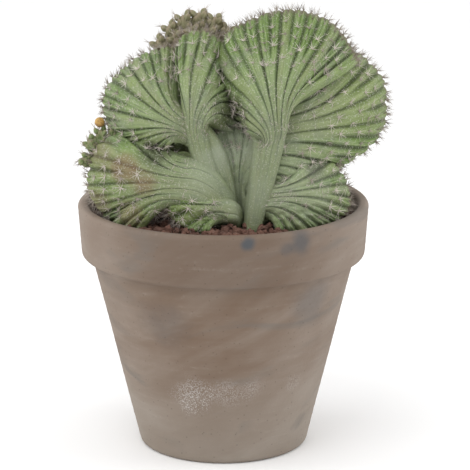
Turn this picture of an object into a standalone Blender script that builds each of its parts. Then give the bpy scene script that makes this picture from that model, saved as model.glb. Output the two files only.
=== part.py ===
"""Potted crested cactus: a fan-shaped (cristate) cactus in a grey-washed clay pot.

Metres, Z up. The origin is the centre of the pot's underside, and the fans face -Y.
"""
import math
import random

import bpy
import bmesh
from mathutils import Vector
from mathutils.bvhtree import BVHTree

# The driving dimensions.
POT_HEIGHT = 0.146
RIM_RADIUS = 0.085
RIM_BAND = 0.031
RIM_STEP = 0.0055
BASE_RADIUS = 0.050
WALL = 0.0063
FLOOR = 0.010
FOOT_ROUND = 0.003
LIP_ROUND = 0.0026
DRAIN_RADIUS = 0.0045
DRAIN_CIRCLE = 0.026
SOIL_BELOW_RIM = 0.0075
GAP = 0.0003
PLUG_RADIUS = 0.013
PLUG_DEPTH = 0.030
STONE_SIZE = 0.0040
STONE_COUNT = 22
SHOOT_RIB = 0.28
DRAWN_FOR_RIM = 0.085

# What follows from them.
INNER_RADIUS = RIM_RADIUS - WALL
SOIL_TOP = POT_HEIGHT - SOIL_BELOW_RIM
CREST_SCALE = RIM_RADIUS / DRAWN_FOR_RIM
MM = 0.001 * CREST_SCALE
PLUG_X = 0.014 * CREST_SCALE
PLUG_Y = -0.026 * CREST_SCALE

# Each fan of the crest is a thick sheet whose ribs run from the base line, through the
# neck, to the growing edge. Points are millimetres from the middle of the soil's top, for
# a rim of DRAWN_FOR_RIM. way: how the ribs leave the neck. face: which way the sheet
# bellies out. half: half its thickness, low down and near the edge.
FANS = {
    "right_upper": {
        "base": ((11, -43, -1), (20, -41, -1)),
        "neck": ((17, -44, 51), (36, -43, 61)),
        "way": (0.12, -0.15, 1.0),
        "face": (0, -14, 0),
        "half": (8.5, 9.5),
        "ribs": 22,
        "edge": (
            (21, -20, 49), (15, -6, 61), (8, 2, 74), (2, 5, 86), (0, 5, 97), (3, 8, 105),
            (10, 10, 110), (19, 10, 114), (28, 10, 117), (39, 8, 118), (50, 6, 116),
            (61, 3, 111), (68, -2, 104), (74, -8, 97), (78, -14, 92),
        ),
    },
    "right_side": {
        "base": ((16, -32, -1), (22, -31, -1)),
        "neck": ((38, -28, 74), (23, -38, 27)),
        "way": (1.0, -0.1, 0.35),
        "face": (0, -10, 0),
        "half": (8.5, 9.5),
        "ribs": 17,
        "edge": (
            (55, 7, 103), (66, 8, 96), (77, 8, 91), (85, 8, 85), (92, 7, 77), (94, 5, 66),
            (94, 3, 55), (89, -1, 46), (80, -6, 41), (70, -11, 37), (58, -17, 33),
            (45, -24, 33), (36, -28, 32),
        ),
    },
    "left_top": {
        "base": ((10, -33, -1), (2, -36, -1)),
        "neck": ((-8, -40, 58), (-22, -42, 60)),
        "way": (-0.1, -0.1, 1.0),
        "face": (0, -12, 0),
        "half": (8.5, 8.5),
        "ribs": 15,
        "edge": (
            (3, -14, 51), (10, 0, 57), (10, 9, 66), (7, 12, 76), (2, 12, 85), (0, 10, 95),
            (-4, 8, 102), (-10, 5, 105), (-17, 2, 106), (-23, -2, 103), (-26, -9, 98),
        ),
    },
    "left_side": {
        "base": ((8, -29, -1), (0, -31, -1)),
        "neck": ((-16, -37, 66), (-23, -39, 50)),
        "way": (-1.0, -0.1, 0.45),
        "face": (0, -12, 2),
        "half": (8.5, 9.5),
        "ribs": 18,
        "edge": (
            (-19, 6, 98), (-28, 4, 95), (-37, 2, 93), (-48, 0, 90), (-56, -2, 85),
            (-64, -4, 79), (-68, -6, 71), (-68, -8, 63), (-64, -12, 56), (-56, -18, 53),
            (-44, -24, 50), (-32, -31, 49),
        ),
    },
    "left_low": {
        "base": ((9, -28, -1), (1, -37, -1)),
        "neck": ((-18, -41, 43), (-25, -49, 16)),
        "way": (-1.0, -0.1, 0.1),
        "face": (-2, -8, 2),
        "half": (9.0, 9.0),
        "ribs": 18,
        "edge": (
            (-31, -31, 46), (-35, -28, 42), (-40, -25, 36), (-45, -23, 37), (-51, -21, 40),
            (-57, -20, 43), (-63, -20, 45), (-69, -20, 45), (-74, -21, 41), (-77, -22, 32),
            (-78, -22, 22), (-75, -20, 14), (-66, -21, 4), (-57, -34, 1), (-45, -43, 1),
        ),
    },
    "front_low": {
        "base": ((6, -28, -1), (2, -37, -1)),
        "neck": ((-1, -44, 20), (1, -48, 6)),
        "way": (-1.0, -0.1, 0.05),
        "face": (0, -4, 2),
        "half": (6.5, 6.0),
        "ribs": 6,
        "edge": (
            (-20, -44, 23), (-28, -46, 21), (-32, -48, 15), (-30, -50, 9), (-22, -52, 5),
            (-8, -52, 4),
        ),
    },
    "right_low": {
        "base": ((17, -28, -1), (23, -36, -1)),
        "neck": ((26, -37, 29), (23, -42, 7)),
        "way": (1.0, -0.1, 0.25),
        "face": (2, -8, 2),
        "half": (8.5, 8.0),
        "ribs": 15,
        "edge": (
            (35, -33, 32), (46, -29, 34), (56, -26, 36), (64, -24, 32), (70, -22, 24),
            (73, -22, 15), (72, -25, 8), (65, -30, 4), (54, -37, 3), (41, -41, 2),
            (29, -44, 2),
        ),
    },
    "middle": {
        "base": ((15, -27, 4), (6, -27, 4)),
        "neck": ((15, -29, 27), (2, -29, 27)),
        "way": (0.0, -0.1, 1.0),
        "face": (0, -4, 0),
        "half": (6.0, 5.0),
        "ribs": 9,
        "edge": (
            (26, -26, 38), (23, -24, 48), (18, -22, 55), (10, -21, 57), (1, -22, 57),
            (-5, -24, 52), (-7, -27, 41),
        ),
    },
    "back_right": {
        "base": ((4, -14, -1), (20, -14, -1)),
        "neck": ((6, 4, 34), (20, 4, 34)),
        "way": (0.1, 0.4, 1.0),
        "face": (2, 14, 0),
        "half": (13.0, 11.0),
        "ribs": 17,
        "edge": (
            (-12, 24, 58), (-6, 23, 76), (8, 20, 84), (22, 18, 88), (36, 15, 86),
            (48, 13, 78), (57, 13, 66), (60, 17, 50), (56, 24, 36), (46, 34, 24),
            (36, 40, 14),
        ),
    },
    "back_left": {
        "base": ((0, -12, -1), (12, -10, -1)),
        "neck": ((-14, 4, 34), (-4, 6, 30)),
        "way": (-0.5, 0.3, 0.8),
        "face": (-2, 12, 0),
        "half": (12.0, 10.5),
        "ribs": 15,
        "edge": (
            (-56, 4, 12), (-62, 4, 28), (-61, 6, 44), (-55, 9, 58), (-45, 12, 68),
            (-34, 17, 72), (-22, 23, 68), (-12, 30, 56),
        ),
    },
    "back_low": {
        "base": ((-2, -6, -1), (14, -6, -1)),
        "neck": ((-8, 20, 16), (12, 20, 16)),
        "way": (0.0, 1.0, 0.5),
        "face": (0, 8, 4),
        "half": (11.0, 10.0),
        "ribs": 14,
        "edge": (
            (-46, 34, 5), (-47, 42, 15), (-34, 52, 24), (-16, 58, 29), (2, 60, 27),
            (18, 58, 30), (32, 52, 24), (40, 45, 14), (38, 42, 5),
        ),
    },
    "heart": {
        "base": ((-6, -14, -1), (20, -14, -1)),
        "neck": ((-14, -9, 30), (26, -9, 30)),
        "way": (0.0, 0.15, 1.0),
        "face": (0, 4, 0),
        "half": (13.0, 11.0),
        "ribs": 14,
        "edge": (
            (-42, -3, 38), (-41, -1, 56), (-30, 2, 70), (-12, 5, 76), (6, 6, 70),
            (22, 5, 80), (38, 3, 84), (54, 0, 74), (60, -3, 56), (50, -6, 38),
        ),
    },
    "top_back": {
        "base": ((-14, -4, 40), (-4, -4, 40)),
        "neck": ((-20, 6, 70), (-8, 6, 70)),
        "way": (0.0, 0.3, 1.0),
        "face": (0, 4, 0),
        "half": (10.0, 8.0),
        "ribs": 8,
        "edge": (
            (-38, 13, 78), (-36, 15, 91), (-31, 16, 100), (-25, 16, 106), (-17, 17, 109),
            (-9, 17, 108), (-2, 16, 104), (3, 15, 95), (4, 15, 80),
        ),
    },
}

# How every fan is made: the neck's place on the way up, the grooves' depth in millimetres,
# how far they notch the edge and where they start, the sheet's wave in millimetres, and
# how finely the whole crest is skinned over and then thinned out.
NECK_SHARE = 0.32
RIB_DEPTH = 2.6
EDGE_NOTCH = 0.014
GROOVE_STARTS = (0.05, 0.55, 0.28, 0.66)
WAVE = 1.6
FAN_ROWS = 20
SKIN_DETAIL = 0.0014
LIGHTEN = 0.065

# Small shoots sprouting from the growing edge: (centre, direction, radius, length) in
# millimetres from the middle of the soil's top.
OFFSETS = (
    ((-38, 14, 86), (-0.9, 0.1, 0.8), 3.5, 13),
    ((-35, 15, 95), (-0.8, 0.2, 1.0), 3.5, 14),
    ((-29, 16, 103), (-0.5, 0.2, 1.0), 3.5, 14),
    ((-22, 17, 108), (-0.25, 0.1, 1.0), 3.5, 14),
    ((-14, 17, 109), (0.0, 0.2, 1.0), 3.6, 15),
    ((-6, 17, 107), (0.25, 0.1, 1.0), 3.5, 14),
    ((1, 16, 102), (0.6, 0.2, 1.0), 3.4, 13),
    ((5, 15, 94), (0.9, 0.2, 0.8), 3.4, 13),
    ((-33, 6, 90), (-0.6, -0.8, 0.8), 3.6, 13),
    ((-26, 5, 98), (-0.3, -0.7, 1.0), 3.6, 14),
    ((-18, 5, 102), (-0.05, -0.6, 1.0), 3.6, 14),
    ((-10, 5, 101), (0.25, -0.7, 1.0), 3.6, 14),
    ((-18, 27, 100), (-0.1, 0.9, 0.8), 3.8, 14),
    ((-70, -22, 49), (-0.05, -0.05, 1.0), 2.6, 13),
    ((-75, -23, 46), (-0.7, -0.3, 0.9), 2.9, 8),
    ((-62, -22, 53), (0.1, -0.2, 1.0), 3.0, 9),
    ((-78, -24, 37), (-1.0, -0.4, 0.4), 2.8, 8),
)
BUD_ON = 13
BUD_RADIUS = 0.0031

POT_COLOUR = (0.27, 0.22, 0.18, 1.0)
SOIL_COLOUR = (0.06, 0.04, 0.03, 1.0)
STONE_COLOUR = (0.14, 0.07, 0.05, 1.0)
CREST_COLOUR = (0.22, 0.28, 0.13, 1.0)
OFFSET_COLOUR = (0.27, 0.27, 0.13, 1.0)
BUD_COLOUR = (0.55, 0.30, 0.05, 1.0)

for old in list(bpy.data.objects):
    bpy.data.objects.remove(old, do_unlink=True)

parts = bpy.data.collections.new("potted_crested_cactus")
bpy.context.scene.collection.children.link(parts)
cutters = bpy.data.collections.new("cutters")
bpy.context.scene.collection.children.link(cutters)


def material(name, colour, roughness):
    """A plain Principled material."""
    mat = bpy.data.materials.new(name)
    mat.use_nodes = True
    shader = mat.node_tree.nodes["Principled BSDF"]
    shader.inputs["Base Color"].default_value = colour
    shader.inputs["Roughness"].default_value = roughness
    return mat


def add_object(name, bm, collection, mat=None, smooth=True):
    """Turns a bmesh into a named object in a collection."""
    bmesh.ops.recalc_face_normals(bm, faces=bm.faces)
    mesh = bpy.data.meshes.new(name)
    bm.to_mesh(mesh)
    bm.free()
    obj = bpy.data.objects.new(name, mesh)
    collection.objects.link(obj)
    if mat is not None:
        mesh.materials.append(mat)
    for polygon in mesh.polygons:
        polygon.use_smooth = smooth
    if collection is cutters:
        obj.hide_render = True
        obj.display_type = "WIRE"
    return obj


def boolean(obj, operation, operand):
    """Adds an exact Boolean with an object or a collection."""
    mod = obj.modifiers.new(operation.lower(), "BOOLEAN")
    mod.operation = operation
    mod.solver = "EXACT"
    mod.use_self = True
    if isinstance(operand, bpy.types.Collection):
        mod.operand_type = "COLLECTION"
        mod.collection = operand
    else:
        mod.object = operand
    return mod


def turned(name, profile, mat, steps):
    """A turned solid from a (radius, height) profile that runs top to bottom outside."""
    bm = bmesh.new()
    verts = [bm.verts.new((r, 0.0, z)) for r, z in profile]
    for a, b in zip(verts, verts[1:]):
        bm.edges.new((a, b))
    obj = add_object(name, bm, parts, mat)
    screw = obj.modifiers.new("turn", "SCREW")
    screw.axis = "Z"
    screw.angle = math.tau
    screw.steps = steps
    screw.render_steps = steps
    screw.use_merge_vertices = True
    screw.merge_threshold = 0.000001
    screw.use_smooth_shade = True
    return obj


def arc(centre_r, centre_z, radius, start, end, count):
    """Points of a corner round, in (radius, height)."""
    points = []
    for i in range(count + 1):
        angle = math.radians(start + (end - start) * i / count)
        points.append((centre_r + radius * math.cos(angle), centre_z + radius * math.sin(angle)))
    return points


# The clay pot: one thrown shell with a straight rim band standing out from a tapered body.
clay = material("clay", POT_COLOUR, 0.9)
band_low = POT_HEIGHT - RIM_BAND
under_rim = RIM_RADIUS - 0.002 - RIM_STEP
pot_profile = [(0.0, 0.0), (BASE_RADIUS - FOOT_ROUND, 0.0)]
pot_profile += arc(BASE_RADIUS - FOOT_ROUND, FOOT_ROUND, FOOT_ROUND, -60, -10, 3)
pot_profile.append((under_rim, band_low))
pot_profile += arc(RIM_RADIUS - 0.002 - LIP_ROUND, band_low + LIP_ROUND, LIP_ROUND, -80, 0, 3)
pot_profile += arc(RIM_RADIUS - LIP_ROUND, POT_HEIGHT - LIP_ROUND, LIP_ROUND, 0, 90, 4)
pot_profile += arc(INNER_RADIUS + LIP_ROUND, POT_HEIGHT - LIP_ROUND, LIP_ROUND, 100, 180, 4)
pot_profile.append((under_rim - WALL, band_low - 0.004))
pot_profile.append((BASE_RADIUS - WALL, FLOOR))
pot_profile.append((0.0, FLOOR))
pot = turned("clay_pot", pot_profile[::-1], clay, 72)
for i in range(3):
    angle = math.radians(90 + 120 * i)
    bm = bmesh.new()
    bmesh.ops.create_cone(
        bm,
        cap_ends=True,
        segments=20,
        radius1=DRAIN_RADIUS,
        radius2=DRAIN_RADIUS,
        depth=4 * FLOOR,
    )
    bmesh.ops.translate(
        bm,
        verts=bm.verts,
        vec=(DRAIN_CIRCLE * math.cos(angle), DRAIN_CIRCLE * math.sin(angle), 0.0),
    )
    drain = add_object("drain_hole_%d" % (i + 1), bm, cutters)
    boolean(pot, "DIFFERENCE", drain)

# The gritty soil fills the pot, with a pocket for the plant's root.
grit_soil = material("soil", SOIL_COLOUR, 0.95)
soil_low = FLOOR + GAP
soil_profile = [(0.0, soil_low), (BASE_RADIUS - WALL - 2 * GAP, soil_low)]
soil_profile.append((under_rim - WALL - 2 * GAP, band_low - 0.004))
wall_r_top = under_rim - WALL
wall_rise = (SOIL_TOP - band_low + 0.004) / (POT_HEIGHT - LIP_ROUND - band_low + 0.004)
soil_edge = wall_r_top + (INNER_RADIUS - wall_r_top) * wall_rise
soil_profile.append((soil_edge - 2 * GAP, SOIL_TOP))
soil_profile.append((0.0, SOIL_TOP))
soil = turned("gritty_soil", soil_profile[::-1], grit_soil, 48)


def smooth_step(low, high, value):
    """0 below low, 1 above high, smooth between."""
    t = min(1.0, max(0.0, (value - low) / (high - low)))
    return t * t * (3.0 - 2.0 * t)


def along(points, fraction):
    """The point at a fraction of the length of a smooth curve through points."""
    spans = [(b - a).length for a, b in zip(points, points[1:])]
    target = fraction * sum(spans)
    index = 0
    while index < len(spans) - 1 and target > spans[index]:
        target -= spans[index]
        index += 1
    t = min(1.0, target / spans[index])
    before = points[max(0, index - 1)]
    start = points[index]
    end = points[index + 1]
    after = points[min(len(points) - 1, index + 2)]
    return 0.5 * (
        2.0 * start
        + (end - before) * t
        + (2.0 * before - 5.0 * start + 4.0 * end - after) * t * t
        + (3.0 * start - before - 3.0 * end + after) * t * t * t
    )


def fan_middle(fan, u, v):
    """A point of the fan's middle sheet, u along the growing edge and v from the base up."""
    base = fan["base"][0].lerp(fan["base"][1], u)
    neck = fan["neck"][0].lerp(fan["neck"][1], u)
    if v < NECK_SHARE:
        low = max(0.0, v / NECK_SHARE)
        below = neck - fan["way"] * 0.35 * (neck - base).length
        return base * (1.0 - low) ** 2 + below * 2.0 * low * (1.0 - low) + neck * low * low
    high = (v - NECK_SHARE) / (1.0 - NECK_SHARE)
    edge = along(fan["edge"], u)
    reach = edge - neck
    first = neck + fan["way"] * 0.42 * reach.length + fan["face"] * 0.5
    second = edge - reach * 0.32 + fan["face"]
    return (
        neck * (1.0 - high) ** 3
        + first * 3.0 * high * (1.0 - high) ** 2
        + second * 3.0 * high * high * (1.0 - high)
        + edge * high ** 3
    )


def fan_normal(fan, u, v):
    """The middle sheet's unit normal, on the side its face bellies to."""
    u = min(0.98, max(0.02, u))
    v = min(0.97, max(0.03, v))
    across = fan_middle(fan, u + 0.01, v) - fan_middle(fan, u - 0.01, v)
    up = fan_middle(fan, u, v + 0.02) - fan_middle(fan, u, v - 0.02)
    normal = across.cross(up).normalized()
    return normal * fan["side"]


def add_fan(bm, data, rng):
    """Adds one closed, ribbed fan to a bmesh."""
    fan = {
        "base": [Vector(p) for p in data["base"]],
        "neck": [Vector(p) for p in data["neck"]],
        "edge": [Vector(p) for p in data["edge"]],
        "way": Vector(data["way"]).normalized(),
        "face": Vector(data["face"]),
        "side": 1.0,
    }
    if fan_normal(fan, 0.5, 0.7).dot(fan["face"]) < 0.0:
        fan["side"] = -1.0
    low_half, high_half = data["half"]
    ribs = data["ribs"]
    columns = 4 * ribs
    starts = []
    for i in range(ribs + 1):
        starts.append(GROOVE_STARTS[i % len(GROOVE_STARTS)] + rng.uniform(-0.05, 0.05))
    grid = bmesh.ops.create_grid(bm, x_segments=columns, y_segments=2 * FAN_ROWS, size=0.5)
    for vert in grid["verts"]:
        u = vert.co.x + 0.5
        w = 2.0 * (vert.co.y + 0.5)
        side = 1.0 if w <= 1.0 else -1.0
        t = w if w <= 1.0 else 2.0 - w
        v = 1.0 - (1.0 - t) ** 1.35
        nearest = round(u * ribs)
        groove = 0.0
        if 0 < nearest < ribs:
            near = 1.0 - 2.0 * abs(u * ribs - nearest)
            groove = near ** 1.5 * smooth_step(starts[nearest], starts[nearest] + 0.25, v)
        inner = min(0.98, max(0.02, u))
        across = fan_middle(fan, inner + 0.01, v) - fan_middle(fan, inner - 0.01, v)
        rib_width = across.length / 0.02 / ribs
        half = low_half + (high_half - low_half) * smooth_step(0.3, 0.8, v)
        if v > 0.86:
            half *= math.sqrt(max(0.0, 1.0 - ((v - 0.86) / 0.14) ** 2))
        half *= math.sqrt(max(0.0, 1.0 - abs(2.0 * u - 1.0) ** 5))
        half -= min(0.5 * half, RIB_DEPTH * groove, 0.62 * rib_width * groove)
        v_used = v * (1.0 - EDGE_NOTCH * groove * smooth_step(0.8, 1.0, v))
        wave = WAVE * math.sin(7.0 * v + 8.0 * u) * smooth_step(0.35, 0.75, v)
        point = fan_middle(fan, u, v_used) + fan_normal(fan, u, v) * (half * side + wave)
        vert.co = Vector((point.x * MM, point.y * MM, point.z * MM + SOIL_TOP))
    bmesh.ops.remove_doubles(bm, verts=grid["verts"], dist=1e-6)
    open_edges = [e for e in bm.edges if e.is_boundary]
    bmesh.ops.holes_fill(bm, edges=open_edges, sides=0)
    bmesh.ops.recalc_face_normals(bm, faces=bm.faces)


def finished_mesh(obj):
    """The mesh an object has once its modifiers have run."""
    graph = bpy.context.evaluated_depsgraph_get()
    return bpy.data.meshes.new_from_object(obj.evaluated_get(graph))


# The crest: fans of one flattened, ribbed stem that grew together, on a root in the soil.
crest_green = material("crest", CREST_COLOUR, 0.7)
rng = random.Random(7)
bm = bmesh.new()
for data in FANS.values():
    add_fan(bm, data, rng)
crest = add_object("crest", bm, parts, crest_green)
remesh = crest.modifiers.new("one_skin", "REMESH")
remesh.mode = "VOXEL"
remesh.voxel_size = SKIN_DETAIL * CREST_SCALE
thin = crest.modifiers.new("lighten", "DECIMATE")
thin.decimate_type = "COLLAPSE"
thin.use_collapse_triangulate = True
thin.ratio = LIGHTEN

bm = bmesh.new()
bmesh.ops.create_cube(bm, size=1.0)
bmesh.ops.scale(bm, verts=bm.verts, vec=(0.3, 0.3, 0.1))
bmesh.ops.translate(bm, verts=bm.verts, vec=(0.0, 0.0, SOIL_TOP + GAP - 0.05))
below_soil = add_object("below_soil", bm, cutters)
boolean(crest, "DIFFERENCE", below_soil)

bm = bmesh.new()
bmesh.ops.create_cone(
    bm,
    cap_ends=True,
    segments=20,
    radius1=0.6 * PLUG_RADIUS * CREST_SCALE,
    radius2=PLUG_RADIUS * CREST_SCALE,
    depth=PLUG_DEPTH + 0.006,
)
bmesh.ops.translate(
    bm, verts=bm.verts, vec=(PLUG_X, PLUG_Y, SOIL_TOP + 0.003 - PLUG_DEPTH / 2)
)
root_plug = add_object("root_plug", bm, cutters)
boolean(crest, "UNION", root_plug)
crest_mesh = finished_mesh(crest)
print("crest faces", len(crest_mesh.polygons))

# The pocket in the soil that the root sits in, wider all round by the gap.
bm = bmesh.new()
bmesh.ops.create_cone(
    bm,
    cap_ends=True,
    segments=20,
    radius1=0.6 * PLUG_RADIUS * CREST_SCALE + 2 * GAP,
    radius2=PLUG_RADIUS * CREST_SCALE + 2 * GAP,
    depth=PLUG_DEPTH + 0.006,
)
bmesh.ops.translate(
    bm, verts=bm.verts, vec=(PLUG_X, PLUG_Y, SOIL_TOP + 0.003 - PLUG_DEPTH / 2 - GAP)
)
pocket = add_object("root_pocket", bm, cutters)
boolean(soil, "DIFFERENCE", pocket)

# What grows out of the crest, or lies beside it, keeps this copy's distance: the crest
# pushed out by the gap.
bm = bmesh.new()
bm.from_mesh(crest_mesh)
bm.normal_update()
clearances = [v.normal * GAP for v in bm.verts]
for vert, push in zip(bm.verts, clearances):
    vert.co += push
crest_clear = add_object("crest_clear", bm, cutters)
crest_tree = BVHTree.FromObject(crest_clear, bpy.context.evaluated_depsgraph_get())

# Small shoots on the growing edge, each a stem of its own, cut to the crest's surface.
shoot_green = material("shoots", OFFSET_COLOUR, 0.7)
shoots = []
for number, (centre, direction, radius, length) in enumerate(OFFSETS):
    bm = bmesh.new()
    bmesh.ops.create_uvsphere(bm, u_segments=10, v_segments=7, radius=1.0)
    for vert in bm.verts:
        height = vert.co.z
        turn = math.atan2(vert.co.y, vert.co.x)
        rib = 1.0 - SHOOT_RIB * (0.5 - 0.5 * math.cos(5.0 * turn))
        taper = 1.0 - 0.45 * smooth_step(0.1, 1.0, height)
        vert.co.x *= radius * rib * taper
        vert.co.y *= radius * rib * taper
        vert.co.z *= 0.5 * length
    lean = Vector(direction).to_track_quat("Z", "Y").to_matrix().to_4x4()
    bmesh.ops.transform(bm, matrix=lean, verts=bm.verts)
    place = Vector((centre[0] * MM, centre[1] * MM, centre[2] * MM + SOIL_TOP))
    bmesh.ops.scale(bm, verts=bm.verts, vec=(MM, MM, MM))
    bmesh.ops.translate(bm, verts=bm.verts, vec=place)
    shoot = add_object("shoot_%02d" % (number + 1), bm, parts, shoot_green)
    boolean(shoot, "DIFFERENCE", crest_clear)
    shoots.append(shoot)

# The round flower bud on the tip of one shoot.
bud_orange = material("flower_bud", BUD_COLOUR, 0.6)
bud_centre, bud_lean, bud_stem_radius, bud_stem_length = OFFSETS[BUD_ON]
bud_way = Vector(bud_lean).normalized()
bud_reach = (0.5 * bud_stem_length * MM) + BUD_RADIUS + GAP
bud_place = Vector((bud_centre[0] * MM, bud_centre[1] * MM, bud_centre[2] * MM + SOIL_TOP))
bm = bmesh.new()
bmesh.ops.create_uvsphere(bm, u_segments=14, v_segments=9, radius=BUD_RADIUS)
bmesh.ops.translate(bm, verts=bm.verts, vec=bud_place + bud_way * bud_reach)
add_object("flower_bud", bm, parts, bud_orange)

# Lava stones lying loose on the soil, clear of the plant, the pot and each other.
lava = material("lava", STONE_COLOUR, 0.95)
stone_rng = random.Random(21)
laid = []
tries = 0
while len(laid) < STONE_COUNT and tries < 4000:
    tries += 1
    size = STONE_SIZE * stone_rng.uniform(0.75, 1.15)
    reach = (soil_edge - 2 * GAP - size) * math.sqrt(stone_rng.uniform(0.5, 1.0))
    turn = stone_rng.uniform(0.0, math.tau)
    if len(laid) < STONE_COUNT // 2:
        turn = math.radians(stone_rng.uniform(228.0, 300.0))
    flat = stone_rng.uniform(0.6, 0.85)
    spot = Vector((reach * math.cos(turn), reach * math.sin(turn), 0.0))
    spot.z = SOIL_TOP + GAP + size * flat
    near = crest_tree.find_nearest(spot)
    if near[3] < size + GAP:
        continue
    if any((spot - other).length < size + other_size + GAP for other, other_size in laid):
        continue
    laid.append((spot, size))
    bm = bmesh.new()
    bmesh.ops.create_icosphere(bm, subdivisions=1, radius=size)
    for vert in bm.verts:
        vert.co *= stone_rng.uniform(0.72, 1.0)
        vert.co.z *= flat
    low = min(v.co.z for v in bm.verts)
    bmesh.ops.translate(bm, verts=bm.verts, vec=(spot.x, spot.y, SOIL_TOP + GAP - low))
    add_object("lava_stone_%02d" % len(laid), bm, parts, lava, smooth=False)
print("stones", len(laid))
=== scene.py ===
"""A crested cactus in a washed clay pot: the looks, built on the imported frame."""

import math
import random

import bpy
import numpy as np
from mathutils import Matrix, Vector, noise
from mathutils.bvhtree import BVHTree


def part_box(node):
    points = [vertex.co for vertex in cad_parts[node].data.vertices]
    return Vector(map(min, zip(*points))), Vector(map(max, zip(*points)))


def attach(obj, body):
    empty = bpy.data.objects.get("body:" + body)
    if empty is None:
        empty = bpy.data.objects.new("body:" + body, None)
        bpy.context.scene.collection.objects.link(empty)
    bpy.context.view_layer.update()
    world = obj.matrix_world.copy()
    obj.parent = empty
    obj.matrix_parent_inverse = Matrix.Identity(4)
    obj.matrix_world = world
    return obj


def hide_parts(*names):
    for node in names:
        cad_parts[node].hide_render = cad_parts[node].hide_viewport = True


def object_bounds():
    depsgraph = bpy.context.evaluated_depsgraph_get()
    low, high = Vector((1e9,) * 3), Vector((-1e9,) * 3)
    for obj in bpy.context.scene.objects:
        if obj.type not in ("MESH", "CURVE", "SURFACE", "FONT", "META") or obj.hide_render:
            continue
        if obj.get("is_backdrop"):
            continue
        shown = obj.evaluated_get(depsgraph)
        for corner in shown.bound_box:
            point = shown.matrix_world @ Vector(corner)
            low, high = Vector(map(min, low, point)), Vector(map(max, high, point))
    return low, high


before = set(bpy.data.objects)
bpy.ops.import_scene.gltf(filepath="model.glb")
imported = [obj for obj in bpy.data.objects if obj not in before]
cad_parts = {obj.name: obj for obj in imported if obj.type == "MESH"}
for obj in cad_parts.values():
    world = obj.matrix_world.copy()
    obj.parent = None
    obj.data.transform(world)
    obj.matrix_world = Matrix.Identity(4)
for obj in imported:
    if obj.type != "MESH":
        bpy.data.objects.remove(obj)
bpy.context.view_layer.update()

# The clay pot. Thrown terracotta with a straight rim band standing out from a tapered
# body, washed over with a grey lime slip that has worn thin and browned in patches.
pot_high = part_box("clay_pot")[1]
rim_radius = pot_high[0]
pot_height = pot_high[2]
rim_band = 0.031
rim_step = 0.0055
base_radius = 0.050
pot_wall = 0.0063
pot_floor = 0.010
lip_round = 0.0026
drain_radius = 0.0045
drain_circle = 0.026
clay_brown = (0.165, 0.112, 0.078)
slip_grey = (0.33, 0.285, 0.245)
slip_pale = (0.50, 0.45, 0.40)
stain_blue = (0.075, 0.085, 0.095)
stains = (
    ((0.014, -0.084, 0.1415), 0.0060, 0.9),
    ((0.044, -0.073, 0.1395), 0.0100, 0.65),
    ((0.036, -0.077, 0.1370), 0.0060, 0.4),
    ((0.048, -0.050, 0.1000), 0.0200, 0.35),
    ((-0.030, -0.055, 0.0900), 0.0220, 0.3),
)
blooms = (
    ((-0.018, -0.059, 0.0460), 0.0165, 0.38),
    ((-0.020, -0.060, 0.0380), 0.0120, 0.32),
    ((0.002, -0.063, 0.0470), 0.0150, 0.26),
    ((0.016, -0.060, 0.0500), 0.0110, 0.22),
    ((0.040, -0.046, 0.0480), 0.0080, 0.18),
)


class Wire:
    """A shader socket that can be used in sums with other sockets and with numbers."""

    def __init__(self, tree, socket):
        self.tree = tree
        self.socket = socket

    def maths(self, operation, *values):
        node = self.tree.nodes.new("ShaderNodeMath")
        node.operation = operation
        for slot, value in zip(node.inputs, values):
            plug(self.tree, slot, value)
        return Wire(self.tree, node.outputs[0])

    def __add__(self, other):
        return self.maths("ADD", self, other)

    def __radd__(self, other):
        return self.maths("ADD", other, self)

    def __sub__(self, other):
        return self.maths("SUBTRACT", self, other)

    def __rsub__(self, other):
        return self.maths("SUBTRACT", other, self)

    def __mul__(self, other):
        return self.maths("MULTIPLY", self, other)

    def __rmul__(self, other):
        return self.maths("MULTIPLY", other, self)

    def __truediv__(self, other):
        return self.maths("DIVIDE", self, other)

    def step(self, low, high):
        """0 below low, 1 above high, smooth between."""
        node = self.tree.nodes.new("ShaderNodeMapRange")
        node.interpolation_type = "SMOOTHSTEP"
        plug(self.tree, node.inputs["Value"], self)
        node.inputs["From Min"].default_value = low
        node.inputs["From Max"].default_value = high
        return Wire(self.tree, node.outputs["Result"])


def plug(tree, slot, value):
    """Links a wire to an input, or sets the input to a number or a colour."""
    if isinstance(value, Wire):
        tree.links.new(value.socket, slot)
    elif isinstance(value, (tuple, list)) and len(value) == 3 and slot.type == "RGBA":
        slot.default_value = (*value, 1.0)
    else:
        slot.default_value = value


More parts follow.
